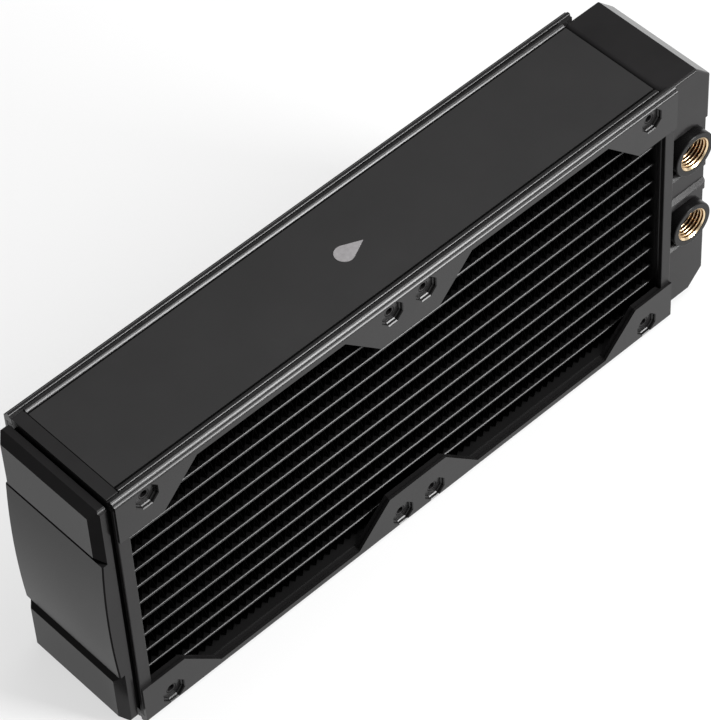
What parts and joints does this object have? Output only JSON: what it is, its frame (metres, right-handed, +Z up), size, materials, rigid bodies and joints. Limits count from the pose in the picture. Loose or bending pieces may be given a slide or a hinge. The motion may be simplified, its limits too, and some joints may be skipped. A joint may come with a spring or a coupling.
{
  "type": "liquid cooling radiator",
  "caption": "Long black liquid cooling radiator with a finned core, tabbed fan frames on both faces and threaded brass ports at one end",
  "frame": {"origin": "middle of the bounding box's lower face, on the surface that the long edge stands on", "axes": "+X along the length to the port end, -Y out of the fan face beside the port mouths, +Z up"},
  "size_m": [0.277, 0.054, 0.118],
  "materials": {
    "plate_paint": "satin black powder coat on sheet metal",
    "rail_paint": "satin black coat on an extruded rail",
    "panel_paint": "satin black coat, slightly flatter",
    "frame_paint": "satin black coat",
    "core_paint": "flat black coat",
    "fin_paint": "thin flat black coat on folded foil",
    "tube_paint": "thin semi-gloss black coat",
    "cover_paint": "satin black coat",
    "tank_paint": "semi-gloss black coat",
    "boss_paint": "semi-gloss black coat",
    "insert_brass": "turned brass, bright",
    "bushing_steel": "dark plated steel",
    "emblem_metal": "satin dark grey"
  },
  "bodies": {
    "root": {"back_bottom_plate": "plate_paint", "back_bottom_rail": "rail_paint", "back_bushings": "bushing_steel", "back_top_plate": "plate_paint", "back_top_rail": "rail_paint", "bottom_core_plate": "core_paint", "bottom_panel": "panel_paint", "drop_emblem": "emblem_metal", "fin_strip_01": "fin_paint", "fin_strip_02": "fin_paint", "fin_strip_03": "fin_paint", "fin_strip_04": "fin_paint", "fin_strip_05": "fin_paint", "fin_strip_06": "fin_paint", "fin_strip_07": "fin_paint", "fin_strip_08": "fin_paint", "fin_strip_09": "fin_paint", "fin_strip_10": "fin_paint", "fin_strip_11": "fin_paint", "fin_strip_12": "fin_paint", "fin_strip_13": "fin_paint", "flat_tube_01": "tube_paint", "flat_tube_02": "tube_paint", "flat_tube_03": "tube_paint", "flat_tube_04": "tube_paint", "flat_tube_05": "tube_paint", "flat_tube_06": "tube_paint", "flat_tube_07": "tube_paint", "flat_tube_08": "tube_paint", "flat_tube_09": "tube_paint", "flat_tube_10": "tube_paint", "flat_tube_11": "tube_paint", "flat_tube_12": "tube_paint", "front_bottom_plate": "plate_paint", "front_bottom_rail": "rail_paint", "front_bushings": "bushing_steel", "front_top_plate": "plate_paint", "front_top_rail": "rail_paint", "left_end_cover": "cover_paint", "left_end_frame": "frame_paint", "left_header_plate": "core_paint", "lower_port_boss": "boss_paint", "lower_port_insert": "insert_brass", "port_divider": "tank_paint", "port_tank": "tank_paint", "return_tank": "core_paint", "right_end_frame": "frame_paint", "right_header_plate": "core_paint", "top_core_plate": "core_paint", "top_panel": "panel_paint", "upper_port_boss": "boss_paint", "upper_port_insert": "insert_brass"}
  },
  "joints": []
}
